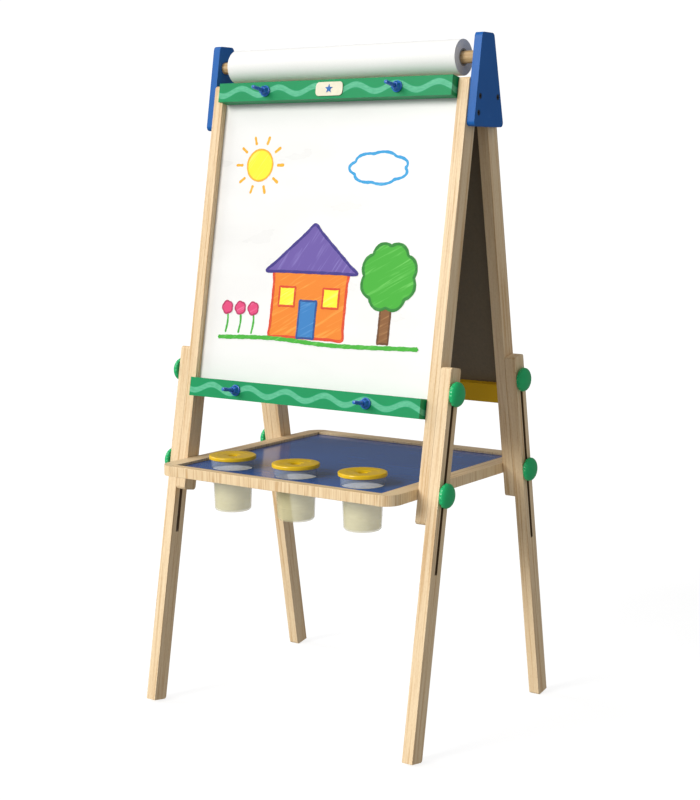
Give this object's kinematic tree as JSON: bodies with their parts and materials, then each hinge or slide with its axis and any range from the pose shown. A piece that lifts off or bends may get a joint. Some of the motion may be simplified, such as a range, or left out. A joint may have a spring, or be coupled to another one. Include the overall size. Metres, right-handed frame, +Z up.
{
  "type": "children's easel",
  "caption": "Folding two-sided children's easel with a writing board, paper roll, clamp bars, height-adjusting legs and a tray that holds lidded paint cups.",
  "frame": {"origin": "on the floor, midway between the four feet, at the bottom centre of the object's box", "axes": "+Z up, +X to the right seen from the front, the front board faces -Y"},
  "size_m": [0.581, 0.456, 1.134],
  "materials": {
    "pine": "clear-coated light pine, fine straight grain",
    "dowel_wood": "plain turned birch",
    "whiteboard": "white dry-erase laminate",
    "chalkboard": "matt dark chalk surface on hardboard",
    "yellow_paint": "satin yellow paint on wood",
    "yellow_plastic": "smooth moulded yellow plastic",
    "blue_paint": "satin blue paint on board",
    "tray_blue": "glossy blue laminate",
    "dark_screw": "dark zinc hex socket screw",
    "steel": "bright zinc-plated threaded steel",
    "brass_insert": "plain brass",
    "blue_plastic": "moulded blue plastic",
    "green_paint": "satin green paint with a pale green wave",
    "green_plastic": "smooth moulded green plastic",
    "cup_plastic": "translucent natural plastic",
    "paper": "matt white drawing paper",
    "cardboard": "plain brown paper tube"
  },
  "bodies": {
    "front_frame": {"front_post_left": "pine", "front_post_right": "pine", "whiteboard": "whiteboard", "front_crossbar_top": "pine", "front_crossbar_bottom": "pine", "front_crossbar_pins": "dowel_wood", "bracket_left": "blue_paint", "bracket_right": "blue_paint", "bracket_screws": "dark_screw", "pivot_screws": "dark_screw", "front_post_inserts": "brass_insert", "clamp_bolts": "blue_plastic", "knob_studs_front_left": "steel", "knob_studs_front_right": "steel"},
    "top_clamp": {"clamp_bar_top": "green_paint", "badge": "yellow_plastic"},
    "bottom_clamp": {"clamp_bar_bottom": "green_paint"},
    "nut_top_left": {"clamp_nut_top_left": "blue_plastic"},
    "nut_top_right": {"clamp_nut_top_right": "blue_plastic"},
    "nut_bottom_left": {"clamp_nut_bottom_left": "blue_plastic"},
    "nut_bottom_right": {"clamp_nut_bottom_right": "blue_plastic"},
    "rear_frame": {"rear_post_left": "pine", "rear_post_right": "pine", "chalkboard": "chalkboard", "rear_crossbar_top": "yellow_paint", "rear_crossbar_bottom": "yellow_paint", "rear_crossbar_pins": "dowel_wood", "rear_post_inserts": "brass_insert", "knob_studs_rear_left": "steel", "knob_studs_rear_right": "steel"},
    "front_left_leg": {"leg_front_left": "pine"},
    "front_right_leg": {"leg_front_right": "pine"},
    "rear_left_leg": {"leg_rear_left": "pine"},
    "rear_right_leg": {"leg_rear_right": "pine"},
    "tray": {"tray_rail_left": "pine", "tray_rail_right": "pine", "tray_rail_front": "pine", "tray_rail_back": "pine", "tray_panel": "tray_blue", "tray_inserts": "brass_insert"},
    "left_cup": {"cup_left": "cup_plastic"},
    "middle_cup": {"cup_middle": "cup_plastic"},
    "right_cup": {"cup_right": "cup_plastic"},
    "left_lid": {"cup_lid_left": "yellow_plastic"},
    "middle_lid": {"cup_lid_middle": "yellow_plastic"},
    "right_lid": {"cup_lid_right": "yellow_plastic"},
    "dowel": {"roll_dowel": "dowel_wood"},
    "paper": {"roll_core": "cardboard", "paper_roll": "paper"},
    "front_left_upper_knob": {"knob_front_left_upper": "green_plastic"},
    "front_left_lower_knob": {"knob_front_left_lower": "green_plastic"},
    "front_right_upper_knob": {"knob_front_right_upper": "green_plastic"},
    "front_right_lower_knob": {"knob_front_right_lower": "green_plastic"},
    "rear_left_upper_knob": {"knob_rear_left_upper": "green_plastic"},
    "rear_left_lower_knob": {"knob_rear_left_lower": "green_plastic"},
    "rear_right_upper_knob": {"knob_rear_right_upper": "green_plastic"},
    "rear_right_lower_knob": {"knob_rear_right_lower": "green_plastic"}
  },
  "joints": [
    {"name": "rear_frame_fold", "type": "hinge", "parent": "front_frame", "child": "rear_frame", "pos_m": [0, 0.0277, 1.035], "axis": [-1, 0, 0], "range_deg": [0, 20]},
    {"name": "tray_fold", "type": "hinge", "parent": "front_frame", "child": "tray", "pos_m": [0, -0.13629, 0.41675], "axis": [-1, 0, 0], "range_deg": [0, 100]},
    {"name": "front_left_leg_slide", "type": "slide", "parent": "front_frame", "child": "front_left_leg", "axis": [0, 0.1736, 0.9848], "range_m": [0, 0.118]},
    {"name": "front_right_leg_slide", "type": "slide", "parent": "front_frame", "child": "front_right_leg", "axis": [0, 0.1736, 0.9848], "range_m": [0, 0.118]},
    {"name": "rear_left_leg_slide", "type": "slide", "parent": "rear_frame", "child": "rear_left_leg", "axis": [0, -0.1736, 0.9848], "range_m": [0, 0.118]},
    {"name": "rear_right_leg_slide", "type": "slide", "parent": "rear_frame", "child": "rear_right_leg", "axis": [0, -0.1736, 0.9848], "range_m": [0, 0.118]},
    {"name": "front_left_upper_knob_turn", "type": "hinge", "parent": "front_frame", "child": "front_left_upper_knob", "pos_m": [-0.281, -0.10865, 0.57351], "axis": [-1, 0, 0], "continuous": true},
    {"name": "front_left_lower_knob_turn", "type": "hinge", "parent": "front_frame", "child": "front_left_lower_knob", "pos_m": [-0.281, -0.13629, 0.41675], "axis": [-1, 0, 0], "continuous": true},
    {"name": "front_right_upper_knob_turn", "type": "hinge", "parent": "front_frame", "child": "front_right_upper_knob", "pos_m": [0.281, -0.10865, 0.57351], "axis": [1, 0, 0], "continuous": true},
    {"name": "front_right_lower_knob_turn", "type": "hinge", "parent": "front_frame", "child": "front_right_lower_knob", "pos_m": [0.281, -0.13629, 0.41675], "axis": [1, 0, 0], "continuous": true},
    {"name": "rear_left_upper_knob_turn", "type": "hinge", "parent": "rear_frame", "child": "rear_left_upper_knob", "pos_m": [-0.281, 0.10865, 0.57351], "axis": [-1, 0, 0], "continuous": true},
    {"name": "rear_left_lower_knob_turn", "type": "hinge", "parent": "rear_frame", "child": "rear_left_lower_knob", "pos_m": [-0.281, 0.13629, 0.41675], "axis": [-1, 0, 0], "continuous": true},
    {"name": "rear_right_upper_knob_turn", "type": "hinge", "parent": "rear_frame", "child": "rear_right_upper_knob", "pos_m": [0.281, 0.10865, 0.57351], "axis": [1, 0, 0], "continuous": true},
    {"name": "rear_right_lower_knob_turn", "type": "hinge", "parent": "rear_frame", "child": "rear_right_lower_knob", "pos_m": [0.281, 0.13629, 0.41675], "axis": [1, 0, 0], "continuous": true},
    {"name": "top_clamp_slide", "type": "slide", "parent": "front_frame", "child": "top_clamp", "axis": [0, -0.9848, 0.1736], "range_m": [0, 0.02]},
    {"name": "bottom_clamp_slide", "type": "slide", "parent": "front_frame", "child": "bottom_clamp", "axis": [0, -0.9848, 0.1736], "range_m": [0, 0.02]},
    {"name": "top_left_nut_turn", "type": "hinge", "parent": "top_clamp", "child": "nut_top_left", "pos_m": [-0.133, -0.05959, 1.05328], "axis": [0, -0.9848, 0.1736], "continuous": true},
    {"name": "top_right_nut_turn", "type": "hinge", "parent": "top_clamp", "child": "nut_top_right", "pos_m": [0.133, -0.05959, 1.05328], "axis": [0, -0.9848, 0.1736], "continuous": true},
    {"name": "bottom_left_nut_turn", "type": "hinge", "parent": "bottom_clamp", "child": "nut_bottom_left", "pos_m": [-0.133, -0.14798, 0.55201], "axis": [0, -0.9848, 0.1736], "continuous": true},
    {"name": "bottom_right_nut_turn", "type": "hinge", "parent": "bottom_clamp", "child": "nut_bottom_right", "pos_m": [0.133, -0.14798, 0.55201], "axis": [0, -0.9848, 0.1736], "continuous": true},
    {"name": "left_cup_lift", "type": "slide", "parent": "tray", "child": "left_cup", "axis": [0, 0, 1], "range_m": [0, 0.07]},
    {"name": "left_lid_lift", "type": "slide", "parent": "left_cup", "child": "left_lid", "axis": [0, 0, 1], "range_m": [0, 0.015]},
    {"name": "middle_cup_lift", "type": "slide", "parent": "tray", "child": "middle_cup", "axis": [0, 0, 1], "range_m": [0, 0.07]},
    {"name": "middle_lid_lift", "type": "slide", "parent": "middle_cup", "child": "middle_lid", "axis": [0, 0, 1], "range_m": [0, 0.015]},
    {"name": "right_cup_lift", "type": "slide", "parent": "tray", "child": "right_cup", "axis": [0, 0, 1], "range_m": [0, 0.07]},
    {"name": "right_lid_lift", "type": "slide", "parent": "right_cup", "child": "right_lid", "axis": [0, 0, 1], "range_m": [0, 0.015]},
    {"name": "dowel_lift_out", "type": "slide", "parent": "front_frame", "child": "dowel", "axis": [0, 0.9397, 0.342], "range_m": [0, 0.06]},
    {"name": "paper_roll_turn", "type": "hinge", "parent": "dowel", "child": "paper", "pos_m": [0, -0.0095, 1.097], "axis": [1, 0, 0], "continuous": true}
  ],
  "couplings": [
    {"joint": "tray_fold", "follows": "rear_frame_fold", "ratio": 5}
  ]
}
